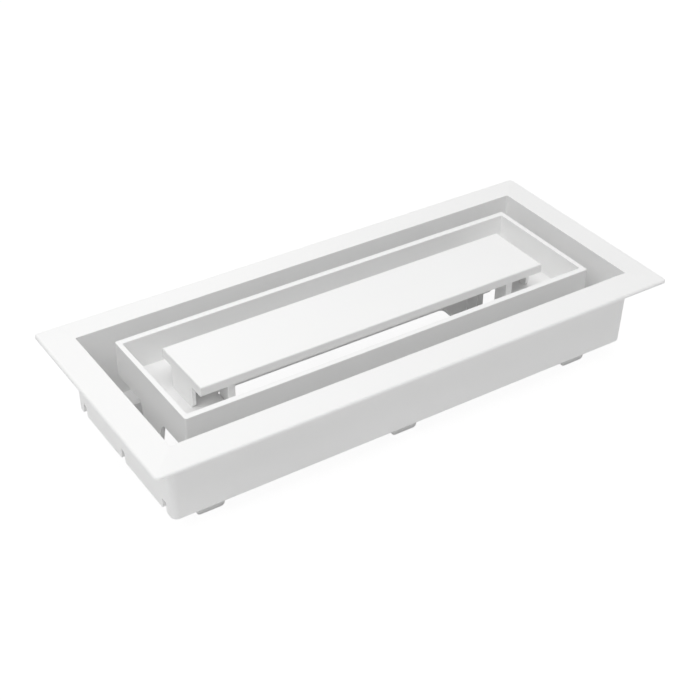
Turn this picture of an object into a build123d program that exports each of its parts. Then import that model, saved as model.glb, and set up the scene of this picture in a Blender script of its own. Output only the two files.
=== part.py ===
from build123d import *
import math
import os

# A flush wall vent for a 4 x 12 inch (102 x 305 mm) duct, made of three white plastic mouldings.
# The outer frame is set in the wall, the tray stands in the frame, and the plate stands in the tray.
# X runs along the vent, Y across it and +Z out of the wall. The origin is at the vent's centre,
# on the wall's surface, which the back of the flange lies on. Sizes are in millimetres and degrees.

# Outer frame: the flange, which rises from its edge to the opening
flange_length = 361.0
flange_width = 157.6
flange_edge = 2.0
flange_corner = 3.0
flange_edge_round = 1.2
face_height = 3.3
end_border = 18.6
side_border = 19.15
opening_corner = 0.6
lip_round = 0.3

# Outer frame: the body below the flange
frame_wall = 3.2
frame_draft = 1.3
frame_corner = 4.0
frame_depth = 48.3
frame_base = 1.8
frame_foot_round = 1.0

# Outer frame: the ports through its base
centre_port_width = 59.4
centre_port_corner = 3.0
crossbar_inner_margin = 12.4
crossbar_outer_margin = 7.95
side_port_corner = 0.8
side_port_tab_margin = 3.3
tongue_seat_margin = 4.9

# Outer frame: notches in the foot of each end wall
notch_width = 4.2
notch_height = 6.3
notch_round = 3.0
notch_inset = 8.25

# Outer frame: tabs that centre the vent in the duct
duct_width = 101.6
tab_clearance = 0.9
tab_width = 18.2
tab_thickness = 3.0
tab_drop = 14.1
tab_corner = 2.5
tab_inset = 27.1

# Tray, with an air slot between it and the frame
outer_slot_end = 17.45
outer_slot_side = 15.8
tray_depth = 23.2
tray_end_wall = 3.3
tray_side_wall = 4.1
tray_floor = 2.0
tray_corner = 1.5
tray_inner_corner = 1.0
tray_rim_round = 0.4
tray_port_end_clearance = 0.3
tray_port_side_clearance = 3.0
tray_port_corner = 1.0

# Tray: tongues that stand on the end ledges of the frame
tongue_width = 26.2
tongue_thickness = 2.9
tongue_foot_width = 16.0
tongue_foot_thickness = 1.7
tongue_root_round = 3.5

# Centre plate, with an air slot between it and the tray
inner_slot_end = 17.4
inner_slot_side = 16.4
plate_thickness = 6.3
plate_round = 0.8

# Centre plate: legs, the short ones on the tray's floor and the long ones on the crossbars
end_leg_width = 24.4
end_leg_thickness = 2.4
end_leg_corner = 2.0
long_leg_inset = 19.6
long_leg_thickness = 4.95
long_leg_gap = 16.8
long_leg_side_inset = 4.35
leg_root_round = 0.6

# Sizes that follow from those above
draft_slope = math.tan(math.radians(frame_draft))
opening_length = flange_length - 2 * end_border
opening_width = flange_width - 2 * side_border
body_length = opening_length + 2 * (frame_wall - face_height * draft_slope)
body_width = opening_width + 2 * (frame_wall - face_height * draft_slope)
base_top = frame_base - frame_depth
hollow_depth = face_height - base_top
foot_inner_length = opening_length - 2 * hollow_depth * draft_slope

tray_length = opening_length - 2 * outer_slot_end
tray_width = opening_width - 2 * outer_slot_side
tray_inner_length = tray_length - 2 * tray_end_wall
tray_inner_width = tray_width - 2 * tray_side_wall
tray_bottom = face_height - tray_depth
tray_floor_top = tray_bottom + tray_floor
tongue_x = (tray_length - tongue_thickness) / 2
tongue_foot_x = (tray_length - tongue_foot_thickness) / 2

plate_length = tray_inner_length - 2 * inner_slot_end
plate_width = tray_inner_width - 2 * inner_slot_side
plate_underside = face_height - plate_thickness
long_leg_span = plate_length - 2 * long_leg_inset
long_leg_reach = plate_width - 2 * long_leg_side_inset
long_leg_width = (long_leg_reach - long_leg_gap) / 2

centre_port_length = long_leg_span - 2 * (long_leg_thickness + crossbar_inner_margin)
side_port_inner_end = long_leg_span / 2 + crossbar_outer_margin
side_port_outer_end = tray_length / 2 - tongue_thickness - tongue_seat_margin
side_port_length = side_port_outer_end - side_port_inner_end
side_port_x = (side_port_outer_end + side_port_inner_end) / 2
tab_face = duct_width / 2 - tab_clearance
side_port_width = 2 * (tab_face - tab_thickness - side_port_tab_margin)
tab_x = opening_length / 2 - tab_inset
notch_y = opening_width / 2 - notch_inset

with BuildPart() as outer_frame:
    # The flange is flat behind, and its face slopes up from the edge to the opening.
    with BuildSketch():
        RectangleRounded(flange_length, flange_width, flange_corner)
    extrude(amount=flange_edge)
    with BuildSketch(Plane.XY.offset(flange_edge)):
        RectangleRounded(flange_length, flange_width, flange_corner)
    with BuildSketch(Plane.XY.offset(face_height)):
        RectangleRounded(opening_length, opening_width, opening_corner)
    loft(ruled=True)
    flange_rim = outer_frame.edges().filter_by_position(Axis.Z, flange_edge, flange_edge)
    fillet(flange_rim, flange_edge_round)

    # The body hangs behind the flange, and its walls draw in towards the base.
    with BuildSketch():
        RectangleRounded(body_length, body_width, frame_corner)
    extrude(amount=-frame_depth, taper=frame_draft)
    fillet(outer_frame.faces().sort_by(Axis.Z)[0].edges(), frame_foot_round)
    with BuildSketch(Plane.XY.offset(face_height)):
        RectangleRounded(opening_length, opening_width, opening_corner)
    extrude(amount=-hollow_depth, taper=frame_draft, mode=Mode.SUBTRACT)
    fillet(outer_frame.edges().group_by(Axis.Z)[-1], lip_round)

    # One long port and two cross ports leave two crossbars and a ledge all round the base.
    with BuildSketch(Plane.XY.offset(base_top)):
        RectangleRounded(centre_port_length, centre_port_width, centre_port_corner)
        with GridLocations(2 * side_port_x, 0, 2, 1):
            RectangleRounded(side_port_length, side_port_width, side_port_corner)
    extrude(amount=-frame_base, mode=Mode.SUBTRACT)

    # Each notch is open at the foot of its end wall, and one of its lower corners is rounded off.
    with BuildSketch(Plane.YZ.offset(foot_inner_length / 2)):
        for middle in (-notch_y, 0, notch_y):
            with Locations((middle, -frame_depth)):
                Rectangle(notch_width, notch_height, align=(Align.CENTER, Align.MIN))
            with Locations((middle - notch_width / 2, -frame_depth)):
                Rectangle(notch_round, notch_round, align=(Align.MAX, Align.MIN))
            with Locations((middle - notch_width / 2 - notch_round, notch_round - frame_depth)):
                Circle(notch_round, mode=Mode.SUBTRACT)
    notches = extrude(amount=2 * frame_wall, mode=Mode.SUBTRACT)
    mirror(notches, about=Plane.YZ, mode=Mode.SUBTRACT)

    # Three tabs a side hang below the base, just inside the duct's long walls.
    with BuildSketch(Plane.XZ.offset(tab_face)) as tab_profile:
        with Locations((-tab_x, -frame_depth), (0, -frame_depth), (tab_x, -frame_depth)):
            Rectangle(tab_width, tab_drop, align=(Align.CENTER, Align.MAX))
        fillet(tab_profile.vertices().group_by(Axis.Y)[0], tab_corner)
    tabs = extrude(amount=-tab_thickness)
    mirror(tabs, about=Plane.XZ)

with BuildPart() as tray:
    # The tray is a shallow box with its rim level with the frame's face.
    with BuildSketch(Plane.XY.offset(tray_bottom)):
        RectangleRounded(tray_length, tray_width, tray_corner)
    extrude(amount=tray_depth)
    with BuildSketch(Plane.XY.offset(tray_floor_top)):
        RectangleRounded(tray_inner_length, tray_inner_width, tray_inner_corner)
    extrude(amount=tray_depth - tray_floor, mode=Mode.SUBTRACT)
    fillet(tray.edges().group_by(Axis.Z)[-1], tray_rim_round)

    # The port in its floor lets the air and the plate's long legs through.
    with BuildSketch(Plane.XY.offset(tray_floor_top)):
        RectangleRounded(
            long_leg_span + 2 * tray_port_end_clearance,
            long_leg_reach + 2 * tray_port_side_clearance,
            tray_port_corner,
        )
    extrude(amount=-tray_floor, mode=Mode.SUBTRACT)

    # A tongue carries each end wall's outer face down to the ledge that it stands on, and tapers.
    with BuildSketch(Plane.XY.offset(tray_bottom)):
        with Locations((tongue_x, 0)):
            Rectangle(tongue_thickness, tongue_width)
    with BuildSketch(Plane.XY.offset(base_top)):
        with Locations((tongue_foot_x, 0)):
            Rectangle(tongue_foot_thickness, tongue_foot_width)
    tongue = loft(ruled=True)
    mirror(tongue, about=Plane.YZ)
    tray_bottom_edges = tray.edges().filter_by_position(Axis.Z, tray_bottom, tray_bottom)
    tongue_roots = tray_bottom_edges.filter_by(Axis.X).group_by(SortBy.LENGTH)[0]
    fillet(tongue_roots, tongue_root_round)

with BuildPart() as centre_plate:
    # The plate's face is level with the frame's and the tray's.
    with BuildSketch(Plane.XY.offset(plate_underside)):
        Rectangle(plate_length, plate_width)
    extrude(amount=plate_thickness)
    fillet(centre_plate.edges().group_by(Axis.Z)[-1], plate_round)
    fillet(centre_plate.edges().group_by(Axis.Z)[0].filter_by(Axis.X), plate_round)

    # The short legs are flush with the plate's ends and stand on the tray's floor.
    with BuildSketch(Plane.XY.offset(plate_underside)):
        with GridLocations(plate_length - end_leg_thickness, 0, 2, 1):
            Rectangle(end_leg_thickness, end_leg_width)
    extrude(amount=tray_floor_top - plate_underside)
    fillet(centre_plate.edges().group_by(Axis.Z)[0].filter_by(Axis.X), end_leg_corner)

    # The long legs pass through the tray's port and stand on the crossbars.
    with BuildSketch(Plane.XY.offset(plate_underside)):
        with GridLocations(long_leg_span - long_leg_thickness, long_leg_reach - long_leg_width, 2, 2):
            Rectangle(long_leg_thickness, long_leg_width)
    extrude(amount=base_top - plate_underside)
    leg_roots = centre_plate.edges(Select.LAST).group_by(Axis.Z)[-1]
    fillet(leg_roots, leg_root_round)

outer_frame.part.label = "outer_frame"
tray.part.label = "tray"
centre_plate.part.label = "centre_plate"

os.makedirs("parts", exist_ok=True)
export_step(outer_frame.part, "parts/outer_frame.step")
export_step(tray.part, "parts/tray.step")
export_step(centre_plate.part, "parts/centre_plate.step")
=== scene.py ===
import math

import bmesh
import bpy
from mathutils import Euler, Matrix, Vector


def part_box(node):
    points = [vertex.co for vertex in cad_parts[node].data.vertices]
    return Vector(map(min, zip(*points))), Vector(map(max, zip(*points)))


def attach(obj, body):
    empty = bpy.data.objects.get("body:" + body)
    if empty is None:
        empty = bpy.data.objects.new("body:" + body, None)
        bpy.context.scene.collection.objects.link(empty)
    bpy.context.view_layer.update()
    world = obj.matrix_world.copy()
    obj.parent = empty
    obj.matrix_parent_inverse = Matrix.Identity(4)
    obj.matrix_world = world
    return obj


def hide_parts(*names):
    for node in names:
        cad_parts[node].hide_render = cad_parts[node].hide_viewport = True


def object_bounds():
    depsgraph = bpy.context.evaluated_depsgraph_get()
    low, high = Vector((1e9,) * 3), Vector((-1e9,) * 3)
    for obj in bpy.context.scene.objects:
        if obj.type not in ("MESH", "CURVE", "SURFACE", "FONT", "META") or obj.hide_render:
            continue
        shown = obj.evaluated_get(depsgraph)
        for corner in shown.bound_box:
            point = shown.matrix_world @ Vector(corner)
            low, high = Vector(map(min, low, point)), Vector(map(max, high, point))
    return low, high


# A flush wall vent of three white plastic mouldings: the outer frame, the tray and the centre plate.
# X runs along the vent, Y across it and +Z out of the wall, with the flange's back at Z = 0.
# Lengths are in metres, so a size in millimetres is written times MM.
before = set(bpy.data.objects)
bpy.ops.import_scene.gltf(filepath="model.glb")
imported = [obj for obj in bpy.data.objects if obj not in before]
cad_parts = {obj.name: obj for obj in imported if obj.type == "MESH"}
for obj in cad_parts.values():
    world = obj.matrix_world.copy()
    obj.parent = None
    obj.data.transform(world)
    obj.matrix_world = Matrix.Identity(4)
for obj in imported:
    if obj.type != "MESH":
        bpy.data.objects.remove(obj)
cad_low, cad_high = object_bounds()
bpy.ops.object.select_all(action="DESELECT")

MM = 0.001
X, Y, Z = 0, 1, 2

# What the solids give: the outlines, and the heights of the faces, the base and the tabs' feet
frame_low, frame_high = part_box("outer_frame")
tray_low, tray_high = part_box("tray")
plate_low, plate_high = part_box("centre_plate")
FLANGE_LENGTH, FLANGE_WIDTH = (frame_high - frame_low).xy
TRAY_LENGTH, TRAY_WIDTH = (tray_high - tray_low).xy
PLATE_LENGTH, PLATE_WIDTH = (plate_high - plate_low).xy
FACE_HEIGHT = tray_high.z
BASE_TOP = tray_low.z
TAB_FOOT = frame_low.z

# Outer frame: flange and opening
FLANGE_EDGE = 2.0 * MM
FLANGE_CORNER = 3.0 * MM
FLANGE_EDGE_ROUND = 1.2 * MM
END_BORDER = 18.6 * MM
SIDE_BORDER = 19.15 * MM
OPENING_CORNER = 0.6 * MM
LIP_ROUND = 0.3 * MM

# Outer frame: body, ports, notches and tabs
FRAME_WALL = 3.2 * MM
FRAME_DRAFT = math.radians(1.3)
FRAME_CORNER = 4.0 * MM
FRAME_BASE = 1.8 * MM
FRAME_FOOT_ROUND = 1.0 * MM
CENTRE_PORT_WIDTH = 59.4 * MM
CENTRE_PORT_CORNER = 3.0 * MM
CROSSBAR_INNER_MARGIN = 12.4 * MM
CROSSBAR_OUTER_MARGIN = 7.95 * MM
SIDE_PORT_CORNER = 0.8 * MM
SIDE_PORT_TAB_MARGIN = 3.3 * MM
TONGUE_SEAT_MARGIN = 4.9 * MM
NOTCH_WIDTH = 4.2 * MM
NOTCH_HEIGHT = 8.4 * MM
NOTCH_ROUND = 2.4 * MM
NOTCH_INSET = 8.25 * MM
TAB_FACE = 49.9 * MM
TAB_WIDTH = 18.2 * MM
TAB_THICKNESS = 3.0 * MM
TAB_CORNER = 2.5 * MM
TAB_INSET = 27.1 * MM

# Tray and its tongues
TRAY_DEPTH = 23.2 * MM
TRAY_END_WALL = 3.3 * MM
TRAY_SIDE_WALL = 4.1 * MM
TRAY_FLOOR = 2.0 * MM
TRAY_CORNER = 1.5 * MM
TRAY_INNER_CORNER = 1.0 * MM
TRAY_RIM_ROUND = 0.4 * MM
TRAY_PORT_END_CLEARANCE = 0.3 * MM
TRAY_PORT_SIDE_CLEARANCE = 3.0 * MM
TRAY_PORT_CORNER = 1.0 * MM
TONGUE_WIDTH = 26.2 * MM
TONGUE_THICKNESS = 2.9 * MM
TONGUE_FOOT_WIDTH = 16.0 * MM
TONGUE_FOOT_THICKNESS = 1.7 * MM
TONGUE_ROOT_ROUND = 3.5 * MM

# Centre plate and its legs
PLATE_THICKNESS = 6.3 * MM
PLATE_ROUND = 0.8 * MM
END_LEG_WIDTH = 24.4 * MM
END_LEG_THICKNESS = 2.4 * MM
END_LEG_CORNER = 2.0 * MM
LONG_LEG_INSET = 19.6 * MM
LONG_LEG_THICKNESS = 4.95 * MM
LONG_LEG_GAP = 16.8 * MM
LONG_LEG_SIDE_INSET = 4.35 * MM
LEG_ROOT_ROUND = 0.6 * MM

# The small round on the tabs' edges and down the corners of the long legs
TRIM_ROUND = 0.25 * MM

# Sizes and places that follow from those above
DRAFT_SLOPE = math.tan(FRAME_DRAFT)
OPENING_LENGTH = FLANGE_LENGTH - 2 * END_BORDER
OPENING_WIDTH = FLANGE_WIDTH - 2 * SIDE_BORDER
FRAME_FOOT = BASE_TOP - FRAME_BASE
TRAY_BOTTOM = FACE_HEIGHT - TRAY_DEPTH
TRAY_FLOOR_TOP = TRAY_BOTTOM + TRAY_FLOOR
PLATE_UNDERSIDE = FACE_HEIGHT - PLATE_THICKNESS
LONG_LEG_OUTER_X = PLATE_LENGTH / 2 - LONG_LEG_INSET
LONG_LEG_INNER_X = LONG_LEG_OUTER_X - LONG_LEG_THICKNESS
LONG_LEG_OUTER_Y = PLATE_WIDTH / 2 - LONG_LEG_SIDE_INSET
LONG_LEG_INNER_Y = LONG_LEG_GAP / 2
CENTRE_PORT_END = LONG_LEG_INNER_X - CROSSBAR_INNER_MARGIN
CENTRE_PORT_SIDE = CENTRE_PORT_WIDTH / 2
SIDE_PORT_INNER_END = LONG_LEG_OUTER_X + CROSSBAR_OUTER_MARGIN
SIDE_PORT_OUTER_END = TRAY_LENGTH / 2 - TONGUE_THICKNESS - TONGUE_SEAT_MARGIN
SIDE_PORT_SIDE = TAB_FACE - TAB_THICKNESS - SIDE_PORT_TAB_MARGIN
TRAY_PORT_END = LONG_LEG_OUTER_X + TRAY_PORT_END_CLEARANCE
TRAY_PORT_SIDE = LONG_LEG_OUTER_Y + TRAY_PORT_SIDE_CLEARANCE
NOTCH_Y = OPENING_WIDTH / 2 - NOTCH_INSET
TAB_X = OPENING_LENGTH / 2 - TAB_INSET

# Modelling: how far pieces run into each other, cutters run past and the slope is carried on
OVERLAP = 1.0 * MM
CLEAR = 5.0 * MM
SLOPE_CARRY = 1.2

# Modelling: what counts as one place, one point, facing along an axis, upright and sharp
NEAR = 0.02 * MM
SAME_POINT = 0.001 * MM
FACING = 0.9
STEEP = 10
SHARP_ANGLE = math.radians(32)

# Flats that the rounds are made of
BODY_STEPS = 8
TONGUE_STEPS = 7
FOOT_STEPS = 6
EDGE_STEPS = 5
SMALL_STEPS = 4
LIP_STEPS = 3
TRIM_STEPS = 2

# White plastic, with its patterns in waves a metre
WHITE = (0.945, 0.945, 0.942)
PALER = 1.010
DARKER = 0.985
BODY_ROUGHNESS = 0.42
PLATE_ROUGHNESS = 0.40
PLASTIC_IOR = 1.53
CLOUDS = 22.0
CLOUD_DETAIL = 3.0
CLOUD_SHARE = 0.6
CLOUD_ROUGHNESS = 0.06
FLOW = (9.0, 60.0, 60.0)
GRAIN = 2600.0
FINE_DETAIL = 2.0
GRAIN_ROUGHNESS = 0.04
GRAIN_STRENGTH = 0.08
GRAIN_HEIGHT = 0.05 * MM

# The sockets of a mix of colours, which come after those for numbers and vectors
MIX_FIRST, MIX_SECOND, MIX_RESULT = 6, 7, 2

# Camera, solved from the photograph
CAMERA_AT = Vector((-0.4123, -0.6022, 0.4818))
CAMERA_AIM = Vector((-0.0314, -0.0357, 0.0020))
CAMERA_ROLL = math.radians(0.835)
CAMERA_LENS = 73.40
SENSOR_WIDTH = 36.0

# Studio
FLOOR_SIZE = 12.0
FLOOR_GREY = 0.92
FLOOR_SEEN_GREY = 0.15
FLOOR_SEEN_GLOW = 0.92
LAMP_SIZE = 0.9
OVER_PLACE = (0.0, -0.15, 0.95)
OVER_POWER = 3.9
KEY_PLACE = (-0.9, -0.35, 1.15)
KEY_POWER = 5.7
BACK_PLACE = (0.2, 1.3, 0.9)
BACK_POWER = 2.8
WORLD_STRENGTH = 0.375


def choose(piece):
    """Selects one piece alone and makes it the active one."""
    bpy.ops.object.select_all(action="DESELECT")
    bpy.context.view_layer.objects.active = piece
    piece.select_set(True)


def edit(piece):
    """Opens one piece in edit mode, with nothing selected."""
    choose(piece)
    bpy.ops.object.mode_set(mode="EDIT")
    bpy.ops.mesh.select_mode(type="FACE")
    bpy.ops.mesh.select_all(action="DESELECT")


def leave():
    """Closes edit mode."""
    bpy.ops.object.mode_set(mode="OBJECT")


def pick_faces(piece, test):
    """Selects the faces whose middle and normal pass the test, and stays in edit mode."""
    edit(piece)
    mesh = bmesh.from_edit_mesh(piece.data)
    for face in mesh.faces:
        if test(face.calc_center_median(), face.normal):
            face.select_set(True)
    bmesh.update_edit_mesh(piece.data)


def pick_edges(piece, test):
    """Selects the edges whose two ends pass the test, and stays in edit mode."""
    edit(piece)
    bpy.ops.mesh.select_mode(type="EDGE")
    mesh = bmesh.from_edit_mesh(piece.data)
    for edge in mesh.edges:
        if test(edge.verts[0].co, edge.verts[1].co):
            edge.select_set(True)
    bmesh.update_edit_mesh(piece.data)


def upright(first, second):
    """True for an edge that runs mostly up and down."""
    run = second - first
    return abs(run.z) > STEEP * max(abs(run.x), abs(run.y))


def level_at(height):
    """A test for edges that lie at one height."""
    return lambda first, second: abs(first.z - height) < NEAR and abs(second.z - height) < NEAR


def level_along(height, axis):
    """A test for edges that lie at one height and run along X or along Y."""
    level, other = level_at(height), Y if axis == X else X
    return lambda first, second: level(first, second) and abs(first[other] - second[other]) < NEAR


def shoulder_at(reach, height):
    """A test for edges at one height that lie this far to either side of the middle."""
    return lambda first, second: all(
        abs(abs(end.y) - reach) < NEAR and abs(end.z - height) < NEAR for end in (first, second)
    )


def block(name, low, high):
    """Adds a box between two corners."""
    low, high = Vector(low), Vector(high)
    bpy.ops.mesh.primitive_cube_add(size=1.0, location=(low + high) / 2, scale=high - low)
    bpy.ops.object.transform_apply(location=True, rotation=True, scale=True)
    piece = bpy.context.object
    piece.name = name
    return piece


def push_out(shift):
    """Extrudes the faces that are selected, and closes edit mode."""
    bpy.ops.mesh.extrude_region_move(TRANSFORM_OT_translate={"value": shift})
    leave()


def resize_end(piece, height, along, across, centre_x=0.0):
    """Scales the level face at one height, along and across the vent."""
    pick_faces(piece, lambda middle, normal: abs(middle.z - height) < NEAR and abs(normal.z) > FACING)
    bpy.ops.transform.resize(value=(along, across, 1.0), center_override=(centre_x, 0.0, height))
    leave()


def round_edges(piece, test, radius, steps):
    """Rounds the edges that pass the test."""
    pick_edges(piece, test)
    bpy.ops.mesh.bevel(
        offset=radius,
        offset_type="OFFSET",
        segments=steps,
        affect="EDGES",
        clamp_overlap=False,
    )
    leave()


def round_block(name, low, high, corner):
    """A block with round upright corners."""
    piece = block(name, low, high)
    round_edges(piece, upright, corner, EDGE_STEPS)
    return piece


def drafted_block(name, length, width, top, bottom, corner, steps):
    """A block with round corners that draws in downwards, and has this length and width at Z = 0."""
    top_length, top_width = length + 2 * top * DRAFT_SLOPE, width + 2 * top * DRAFT_SLOPE
    foot_length, foot_width = length + 2 * bottom * DRAFT_SLOPE, width + 2 * bottom * DRAFT_SLOPE
    piece = block(name, (-top_length / 2, -top_width / 2, bottom), (top_length / 2, top_width / 2, top))
    resize_end(piece, bottom, foot_length / top_length, foot_width / top_width)
    round_edges(piece, upright, corner, steps)
    return piece


def flared_stem(name, low, high, rise, radius, steps, taper=(1.0, 1.0)):
    """A stem on a wider root, with a round on each side where they meet.

    The corners are those of the root's middle. The stem rises or hangs from it, and its end is
    scaled by the taper along and across the vent, towards its outer face.
    """
    stem = block(name, low, high)
    half = high[Y]
    start = high[Z] if rise > 0 else low[Z]
    for side in (-1, 1):
        pick_faces(stem, lambda middle, normal: normal.y * side > FACING)
        push_out((0.0, side * (radius + OVERLAP), 0.0))
    way = math.copysign(1, rise)
    pick_faces(stem, lambda middle, normal: normal.z * way > FACING and abs(middle.y) < NEAR)
    push_out((0.0, 0.0, rise))
    resize_end(stem, start + rise, *taper, high[X])
    round_edges(stem, shoulder_at(half, start), radius, steps)
    return stem


def mirror_piece(piece, axis):
    """Adds the mirror image across the vent's middle, along X or along Y."""
    choose(piece)
    step = piece.modifiers.new("mirror", "MIRROR")
    step.use_axis = (axis == X, axis == Y, False)
    step.use_mirror_merge = False
    bpy.ops.object.modifier_apply(modifier=step.name)


def combine(piece, other, operation):
    """Adds another piece to this one or cuts it away, and removes the other."""
    choose(piece)
    step = piece.modifiers.new("combine", "BOOLEAN")
    step.operation = operation
    step.solver = "EXACT"
    step.object = other
    bpy.ops.object.modifier_apply(modifier=step.name)
    bpy.data.objects.remove(other, do_unlink=True)


def combine_row(piece, other, shifts, operation):
    """Adds or cuts away a copy of another piece at each shift, and then removes that piece."""
    for shift in shifts:
        choose(other)
        bpy.ops.object.duplicate(linked=False)
        copy = bpy.context.object
        copy.location = shift
        bpy.ops.object.transform_apply(location=True, rotation=True, scale=True)
        combine(piece, copy, operation)
    bpy.data.objects.remove(other, do_unlink=True)


def finish_piece(piece, node_name, material):
    """Cleans the mesh, shades it and puts it in its node's place."""
    edit(piece)
    bpy.ops.mesh.select_all(action="SELECT")
    bpy.ops.mesh.remove_doubles(threshold=SAME_POINT)
    bpy.ops.mesh.normals_make_consistent(inside=False)
    leave()
    bpy.ops.object.shade_smooth_by_angle(angle=SHARP_ANGLE)
    step = piece.modifiers.new("flat faces", "WEIGHTED_NORMAL")
    step.keep_sharp = True
    bpy.ops.object.modifier_apply(modifier=step.name)
    piece.data.materials.clear()
    piece.data.materials.append(material)
    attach(piece, "root")
    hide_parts(node_name)


def make_flange():
    """The flange, flat behind, whose face slopes up from its edge to the opening.

    The slope is carried on past the opening's edge, and the hollow cuts it back to there.
    """
    half_length, half_width = FLANGE_LENGTH / 2, FLANGE_WIDTH / 2
    flange = block("frame_moulding", (-half_length, -half_width, 0), (half_length, half_width, FLANGE_EDGE))
    rise = SLOPE_CARRY * (FACE_HEIGHT - FLANGE_EDGE)
    pick_faces(flange, lambda middle, normal: normal.z > FACING)
    push_out((0.0, 0.0, rise))
    along = 1 - SLOPE_CARRY * (1 - OPENING_LENGTH / FLANGE_LENGTH)
    across = 1 - SLOPE_CARRY * (1 - OPENING_WIDTH / FLANGE_WIDTH)
    resize_end(flange, FLANGE_EDGE + rise, along, across)
    round_edges(flange, upright, FLANGE_CORNER, BODY_STEPS)
    round_edges(flange, level_at(FLANGE_EDGE), FLANGE_EDGE_ROUND, EDGE_STEPS)
    return flange


def make_notch():
    """The cutter of one notch, open below, with both of its lower corners rounded off."""
    inner = OPENING_LENGTH / 2 + (BASE_TOP - FACE_HEIGHT) * DRAFT_SLOPE
    low = (inner, -NOTCH_WIDTH / 2, FRAME_FOOT - CLEAR)
    high = (inner + 2 * FRAME_WALL, NOTCH_WIDTH / 2, FRAME_FOOT)
    return flared_stem("notch", low, high, NOTCH_HEIGHT, NOTCH_ROUND, FOOT_STEPS)


def make_tab():
    """One tab, which hangs below the base just inside the duct's wall."""
    low = (-TAB_WIDTH / 2, -TAB_FACE, TAB_FOOT)
    high = (TAB_WIDTH / 2, TAB_THICKNESS - TAB_FACE, BASE_TOP - OVERLAP / 2)
    tab = block("tab", low, high)
    round_edges(tab, level_along(TAB_FOOT, Y), TAB_CORNER, FOOT_STEPS)

    def face_rim(first, second):
        return abs(first.y - second.y) < NEAR and min(first.z, second.z) < BASE_TOP - OVERLAP

    round_edges(tab, face_rim, TRIM_ROUND, TRIM_STEPS)
    return tab


def make_frame(material):
    """The outer frame: one moulding of flange, walls, base and tabs."""
    moulding = make_flange()
    inner_length = OPENING_LENGTH - 2 * FACE_HEIGHT * DRAFT_SLOPE
    inner_width = OPENING_WIDTH - 2 * FACE_HEIGHT * DRAFT_SLOPE
    outer_length, outer_width = inner_length + 2 * FRAME_WALL, inner_width + 2 * FRAME_WALL
    body = drafted_block("body", outer_length, outer_width, OVERLAP, FRAME_FOOT, FRAME_CORNER, BODY_STEPS)
    round_edges(body, level_at(FRAME_FOOT), FRAME_FOOT_ROUND, SMALL_STEPS)
    combine(moulding, body, "UNION")
    over = FACE_HEIGHT + CLEAR
    hollow = drafted_block("hollow", inner_length, inner_width, over, BASE_TOP, OPENING_CORNER, SMALL_STEPS)
    combine(moulding, hollow, "DIFFERENCE")
    round_edges(moulding, level_at(FACE_HEIGHT), LIP_ROUND, LIP_STEPS)

    under, above = FRAME_FOOT - CLEAR, BASE_TOP + CLEAR
    low, high = (-CENTRE_PORT_END, -CENTRE_PORT_SIDE, under), (CENTRE_PORT_END, CENTRE_PORT_SIDE, above)
    combine(moulding, round_block("centre_port", low, high, CENTRE_PORT_CORNER), "DIFFERENCE")
    low, high = (SIDE_PORT_INNER_END, -SIDE_PORT_SIDE, under), (SIDE_PORT_OUTER_END, SIDE_PORT_SIDE, above)
    side_ports = round_block("side_ports", low, high, SIDE_PORT_CORNER)
    mirror_piece(side_ports, X)
    combine(moulding, side_ports, "DIFFERENCE")

    notches = make_notch()
    mirror_piece(notches, X)
    combine_row(moulding, notches, [(0.0, y, 0.0) for y in (-NOTCH_Y, 0.0, NOTCH_Y)], "DIFFERENCE")
    tabs = make_tab()
    mirror_piece(tabs, Y)
    combine_row(moulding, tabs, [(x, 0.0, 0.0) for x in (-TAB_X, 0.0, TAB_X)], "UNION")
    finish_piece(moulding, "outer_frame", material)


def make_tongues():
    """The two tongues, flush with the tray's end walls, with rounded roots and a taper."""
    outer = TRAY_LENGTH / 2
    low = (outer - TONGUE_THICKNESS, -TONGUE_WIDTH / 2, TRAY_BOTTOM)
    high = (outer, TONGUE_WIDTH / 2, TRAY_BOTTOM + OVERLAP)
    taper = (TONGUE_FOOT_THICKNESS / TONGUE_THICKNESS, TONGUE_FOOT_WIDTH / TONGUE_WIDTH)
    drop = BASE_TOP - TRAY_BOTTOM
    tongues = flared_stem("tongues", low, high, drop, TONGUE_ROOT_ROUND, TONGUE_STEPS, taper)
    mirror_piece(tongues, X)
    return tongues


def make_tray(material):
    """The tray: a shallow box with a port in its floor, on two tongues."""
    half_length, half_width = TRAY_LENGTH / 2, TRAY_WIDTH / 2
    low, high = (-half_length, -half_width, TRAY_BOTTOM), (half_length, half_width, FACE_HEIGHT)
    moulding = round_block("tray_moulding", low, high, TRAY_CORNER)
    inner_length, inner_width = half_length - TRAY_END_WALL, half_width - TRAY_SIDE_WALL
    low = (-inner_length, -inner_width, TRAY_FLOOR_TOP)
    high = (inner_length, inner_width, FACE_HEIGHT + CLEAR)
    combine(moulding, round_block("hollow", low, high, TRAY_INNER_CORNER), "DIFFERENCE")
    round_edges(moulding, level_at(FACE_HEIGHT), TRAY_RIM_ROUND, SMALL_STEPS)
    low = (-TRAY_PORT_END, -TRAY_PORT_SIDE, TRAY_BOTTOM - CLEAR)
    high = (TRAY_PORT_END, TRAY_PORT_SIDE, TRAY_FLOOR_TOP + CLEAR)
    combine(moulding, round_block("port", low, high, TRAY_PORT_CORNER), "DIFFERENCE")
    combine(moulding, make_tongues(), "UNION")
    finish_piece(moulding, "tray", material)


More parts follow.
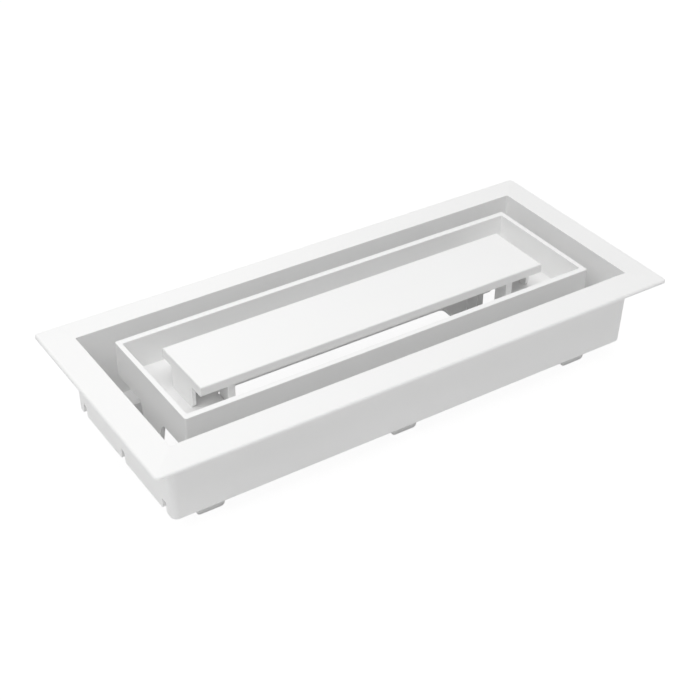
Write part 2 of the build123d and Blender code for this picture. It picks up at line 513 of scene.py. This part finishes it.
def make_end_legs():
    """The two short legs, flush with the plate's ends, whose feet have rounded corners."""
    outer = PLATE_LENGTH / 2
    low = (outer - END_LEG_THICKNESS, -END_LEG_WIDTH / 2, TRAY_FLOOR_TOP)
    high = (outer, END_LEG_WIDTH / 2, PLATE_UNDERSIDE + OVERLAP)
    legs = block("end_legs", low, high)
    round_edges(legs, level_along(TRAY_FLOOR_TOP, X), END_LEG_CORNER, SMALL_STEPS)
    mirror_piece(legs, X)
    return legs


def make_long_legs():
    """The four long legs, which stand on the frame's crossbars."""
    low = (LONG_LEG_INNER_X, LONG_LEG_INNER_Y, BASE_TOP)
    high = (LONG_LEG_OUTER_X, LONG_LEG_OUTER_Y, PLATE_UNDERSIDE + OVERLAP)
    legs = block("long_legs", low, high)
    round_edges(legs, upright, TRIM_ROUND, SMALL_STEPS)
    mirror_piece(legs, X)
    mirror_piece(legs, Y)
    return legs


def make_plate(material):
    """The centre plate: a flat slab on two short end legs and four long legs."""
    half_length, half_width = PLATE_LENGTH / 2, PLATE_WIDTH / 2
    low, high = (-half_length, -half_width, PLATE_UNDERSIDE), (half_length, half_width, FACE_HEIGHT)
    moulding = block("plate_moulding", low, high)
    round_edges(moulding, level_at(FACE_HEIGHT), PLATE_ROUND, EDGE_STEPS)
    round_edges(moulding, level_along(PLATE_UNDERSIDE, X), PLATE_ROUND, SMALL_STEPS)
    combine(moulding, make_end_legs(), "UNION")
    combine(moulding, make_long_legs(), "UNION")
    underside = level_at(PLATE_UNDERSIDE)

    def leg_root(first, second):
        middle = (first + second) / 2
        beside = LONG_LEG_INNER_X - NEAR < abs(middle.x) < LONG_LEG_OUTER_X + NEAR
        return underside(first, second) and beside and abs(middle.y) < LONG_LEG_OUTER_Y + NEAR

    round_edges(moulding, leg_root, LEG_ROOT_ROUND, LIP_STEPS)
    finish_piece(moulding, "centre_plate", material)


class Socket:
    """A node's output, with the operators that the materials use."""

    def __init__(self, nodes, output):
        self.nodes = nodes
        self.output = output

    def maths(self, operation, other):
        return self.nodes.add("ShaderNodeMath", {"operation": operation}, {0: self, 1: other})

    def __add__(self, other):
        return self.maths("ADD", other)

    def __mul__(self, other):
        return self.maths("MULTIPLY", other)

    __radd__ = __add__
    __rmul__ = __mul__


class Nodes:
    """The nodes of one material or of the world, from none."""

    def __init__(self, owner):
        owner.use_nodes = True
        self.tree = owner.node_tree
        self.tree.nodes.clear()

    def add(self, kind, settings=None, inputs=None, output=0):
        """Adds a node of that type, sets its settings and then its sockets, and returns one output."""
        made = self.tree.nodes.new(kind)
        for name, value in (settings or {}).items():
            setattr(made, name, value)
        for name, value in (inputs or {}).items():
            if isinstance(value, Socket):
                self.tree.links.new(value.output, made.inputs[name])
            else:
                made.inputs[name].default_value = value
        return Socket(self, made.outputs[output]) if made.outputs else None

    def straight_ray(self):
        """1 for rays of the camera, of a reflection and through glass, and 0 for light that bounces."""
        kinds = ("Is Camera Ray", "Is Glossy Ray", "Is Transmission Ray")
        seen, reflected, through = (self.add("ShaderNodeLightPath", output=kind) for kind in kinds)
        return seen.maths("MAXIMUM", reflected).maths("MAXIMUM", through)


def grey(level):
    """An opaque grey."""
    return (level, level, level, 1.0)


def noise(nodes, place, waves, detail):
    """A soft noise with about this many waves a metre."""
    return nodes.add("ShaderNodeTexNoise", inputs={"Vector": place, "Scale": waves, "Detail": detail})


def white_plastic(name, roughness):
    """Moulded white plastic: a satin skin with faint flow clouds and a fine spark-eroded grain."""
    material = bpy.data.materials.new(name)
    nodes = Nodes(material)
    place = nodes.add("ShaderNodeTexCoord", output="Object")
    stretched = nodes.add("ShaderNodeMapping", inputs={"Vector": place, "Scale": FLOW})
    clouds = noise(nodes, place, CLOUDS, CLOUD_DETAIL)
    flow = noise(nodes, stretched, 1.0, FINE_DETAIL)
    grain = noise(nodes, place, GRAIN, FINE_DETAIL)
    colour = nodes.add(
        "ShaderNodeMix",
        {"data_type": "RGBA"},
        {
            "Factor": CLOUD_SHARE * clouds + (1 - CLOUD_SHARE) * flow,
            MIX_FIRST: (*(part * DARKER for part in WHITE), 1.0),
            MIX_SECOND: (*(part * PALER for part in WHITE), 1.0),
        },
        MIX_RESULT,
    )
    bump = nodes.add(
        "ShaderNodeBump",
        inputs={"Height": grain, "Strength": GRAIN_STRENGTH, "Distance": GRAIN_HEIGHT},
    )
    smoothest = roughness - (CLOUD_ROUGHNESS + GRAIN_ROUGHNESS) / 2
    shader = nodes.add(
        "ShaderNodeBsdfPrincipled",
        inputs={
            "Base Color": colour,
            "Roughness": smoothest + CLOUD_ROUGHNESS * clouds + GRAIN_ROUGHNESS * grain,
            "IOR": PLASTIC_IOR,
            "Normal": bump,
        },
    )
    nodes.add("ShaderNodeOutputMaterial", inputs={"Surface": shader})
    return material


def make_camera():
    """The photograph's camera."""
    lens = bpy.data.cameras.new("camera")
    lens.lens = CAMERA_LENS
    lens.sensor_width = SENSOR_WIDTH
    camera = bpy.data.objects.new("camera", lens)
    bpy.context.scene.collection.objects.link(camera)
    facing = (CAMERA_AIM - CAMERA_AT).to_track_quat("-Z", "Y")
    camera.location = CAMERA_AT
    camera.rotation_mode = "QUATERNION"
    camera.rotation_quaternion = facing @ Euler((0.0, 0.0, CAMERA_ROLL)).to_quaternion()
    bpy.context.scene.camera = camera


def make_floor():
    """A pale floor that is seen as white, with the vent's soft shadow."""
    bpy.ops.mesh.primitive_plane_add(size=FLOOR_SIZE, location=(0, 0, cad_low.z))
    floor = bpy.context.object
    floor.name = "floor"
    bpy.ops.object.transform_apply(location=True, rotation=True, scale=True)
    material = bpy.data.materials.new("floor")
    nodes = Nodes(material)
    bounced = nodes.add("ShaderNodeBsdfDiffuse", inputs={"Color": grey(FLOOR_GREY)})
    shadowed = nodes.add("ShaderNodeBsdfDiffuse", inputs={"Color": grey(FLOOR_SEEN_GREY)})
    glow = nodes.add("ShaderNodeEmission", inputs={"Strength": FLOOR_SEEN_GLOW})
    seen = nodes.add("ShaderNodeAddShader", inputs={0: shadowed, 1: glow})
    mixed = nodes.add("ShaderNodeMixShader", inputs={0: nodes.straight_ray(), 1: bounced, 2: seen})
    nodes.add("ShaderNodeOutputMaterial", inputs={"Surface": mixed})
    floor.data.materials.append(material)


def make_world():
    """Even light from all round, white behind the vent."""
    world = bpy.data.worlds.new("studio")
    bpy.context.scene.world = world
    nodes = Nodes(world)
    around = nodes.add("ShaderNodeBackground", inputs={"Color": grey(1.0), "Strength": WORLD_STRENGTH})
    behind = nodes.add("ShaderNodeBackground", inputs={"Color": grey(1.0), "Strength": 1.0})
    mixed = nodes.add("ShaderNodeMixShader", inputs={0: nodes.straight_ray(), 1: around, 2: behind})
    nodes.add("ShaderNodeOutputWorld", inputs={"Surface": mixed})


def make_lamp(name, place, power):
    """A square soft box that points at the vent's centre."""
    light = bpy.data.lights.new(name, "AREA")
    light.energy = power
    light.size = LAMP_SIZE
    lamp = bpy.data.objects.new(name, light)
    lamp.location = place
    lamp.rotation_euler = (-Vector(place)).to_track_quat("-Z", "Y").to_euler()
    bpy.context.scene.collection.objects.link(lamp)


bpy.context.scene.view_settings.view_transform = "Standard"
make_camera()
make_floor()
make_world()
make_lamp("over", OVER_PLACE, OVER_POWER)
make_lamp("key", KEY_PLACE, KEY_POWER)
make_lamp("back", BACK_PLACE, BACK_POWER)

make_frame(white_plastic("satin_frame", BODY_ROUGHNESS))
make_tray(white_plastic("satin_tray", BODY_ROUGHNESS))
make_plate(white_plastic("satin_plate", PLATE_ROUGHNESS))
